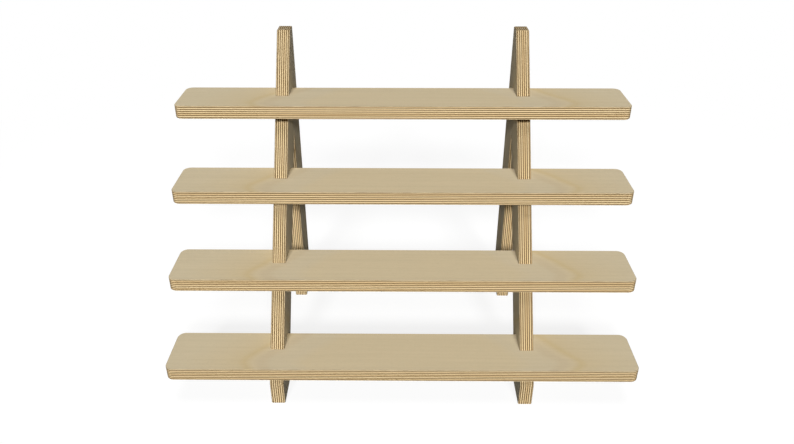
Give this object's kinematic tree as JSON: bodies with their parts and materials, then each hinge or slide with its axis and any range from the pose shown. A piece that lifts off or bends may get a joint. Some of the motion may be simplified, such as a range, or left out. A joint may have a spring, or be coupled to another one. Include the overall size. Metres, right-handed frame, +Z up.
{
  "type": "a-frame shelf",
  "caption": "Stepped plywood display stand: leaning A-shaped side frames carry long round-cornered shelves in cross-halved slots, with no hardware.",
  "frame": {"origin": "on the floor, under the middle of the whole stand's box", "axes": "+X along the shelves to the right of a person facing the stand, +Y to the back, +Z up"},
  "size_m": [0.6, 0.307, 0.42],
  "materials": {
    "frame_ply": "sanded birch plywood, bare edges",
    "shelf_ply": "sanded birch plywood, bare edges"
  },
  "bodies": {
    "frames": {"left_frame": "frame_ply", "right_frame": "frame_ply"},
    "shelf_1": {"shelf_1": "shelf_ply"},
    "shelf_2": {"shelf_2": "shelf_ply"},
    "shelf_3": {"shelf_3": "shelf_ply"},
    "shelf_4": {"shelf_4": "shelf_ply"}
  },
  "joints": [
    {"name": "shelf_1_pull_out", "type": "slide", "parent": "frames", "child": "shelf_1", "axis": [0, -1, 0], "range_m": [0, 0.047]},
    {"name": "shelf_2_pull_out", "type": "slide", "parent": "frames", "child": "shelf_2", "axis": [0, -1, 0], "range_m": [0, 0.047]},
    {"name": "shelf_3_pull_out", "type": "slide", "parent": "frames", "child": "shelf_3", "axis": [0, -1, 0], "range_m": [0, 0.047]},
    {"name": "shelf_4_pull_out", "type": "slide", "parent": "frames", "child": "shelf_4", "axis": [0, -1, 0], "range_m": [0, 0.047]}
  ]
}
